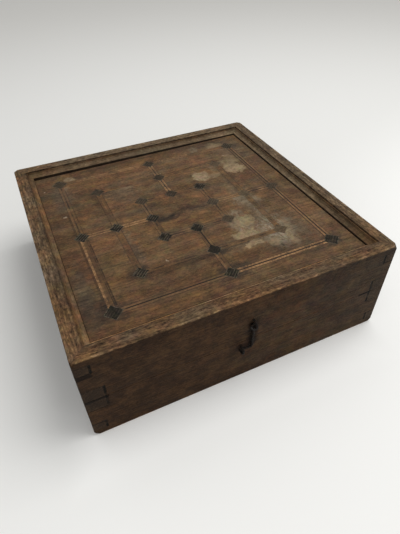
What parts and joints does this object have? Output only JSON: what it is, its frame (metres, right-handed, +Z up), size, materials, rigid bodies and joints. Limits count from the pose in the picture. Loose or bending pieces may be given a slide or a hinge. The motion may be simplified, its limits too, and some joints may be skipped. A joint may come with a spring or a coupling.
{
  "type": "folding games box",
  "caption": "Square wooden games box of two hinged trays with a recessed morris board in a moulded rim, finger-jointed corners, and a wire hook and staple latch.",
  "frame": {"origin": "centre of the box's footprint, latch and hinge knuckles included, on the surface that it stands on", "axes": "+X to the right as one faces the latch, +Y towards the hinges, +Z up"},
  "size_m": [0.245, 0.2568, 0.084],
  "materials": {
    "oak": "worn, waxed",
    "dark_oak": "worn, darkened",
    "bog_oak": "matt",
    "pale_string": "matt",
    "wrought_iron": "dark, slightly rusted"
  },
  "bodies": {
    "base_tray": {"base_front_board": "dark_oak", "base_back_board": "dark_oak", "base_left_board": "oak", "base_right_board": "oak", "base_panel": "oak", "draughts_dark_squares": "bog_oak", "draughts_light_squares": "pale_string", "draughts_border": "pale_string", "base_dark_points": "bog_oak", "base_light_points": "pale_string", "catch_staple": "wrought_iron", "base_leaf_left": "wrought_iron", "base_leaf_right": "wrought_iron", "hinge_pin_left": "wrought_iron", "hinge_pin_right": "wrought_iron", "base_hinge_screws": "wrought_iron"},
    "lid_tray": {"lid_front_board": "dark_oak", "lid_back_board": "dark_oak", "lid_left_board": "oak", "lid_right_board": "oak", "lid_panel": "oak", "mill_diamonds": "bog_oak", "mill_light_strings": "pale_string", "mill_dark_strings": "bog_oak", "lid_dark_points": "bog_oak", "lid_light_points": "pale_string", "hook_staple": "wrought_iron", "lid_leaf_left": "wrought_iron", "lid_leaf_right": "wrought_iron", "lid_hinge_screws": "wrought_iron"},
    "hook": {"latch_hook": "wrought_iron"}
  },
  "joints": [
    {"name": "lid_fold", "type": "hinge", "parent": "base_tray", "child": "lid_tray", "pos_m": [0, 0.12565, 0.042], "axis": [-1, 0, 0], "range_deg": [0, 180]},
    {"name": "hook_swing", "type": "hinge", "parent": "lid_tray", "child": "hook", "pos_m": [0, -0.12385, 0.0565], "axis": [0, 1, 0], "range_deg": [-150, 13]}
  ]
}
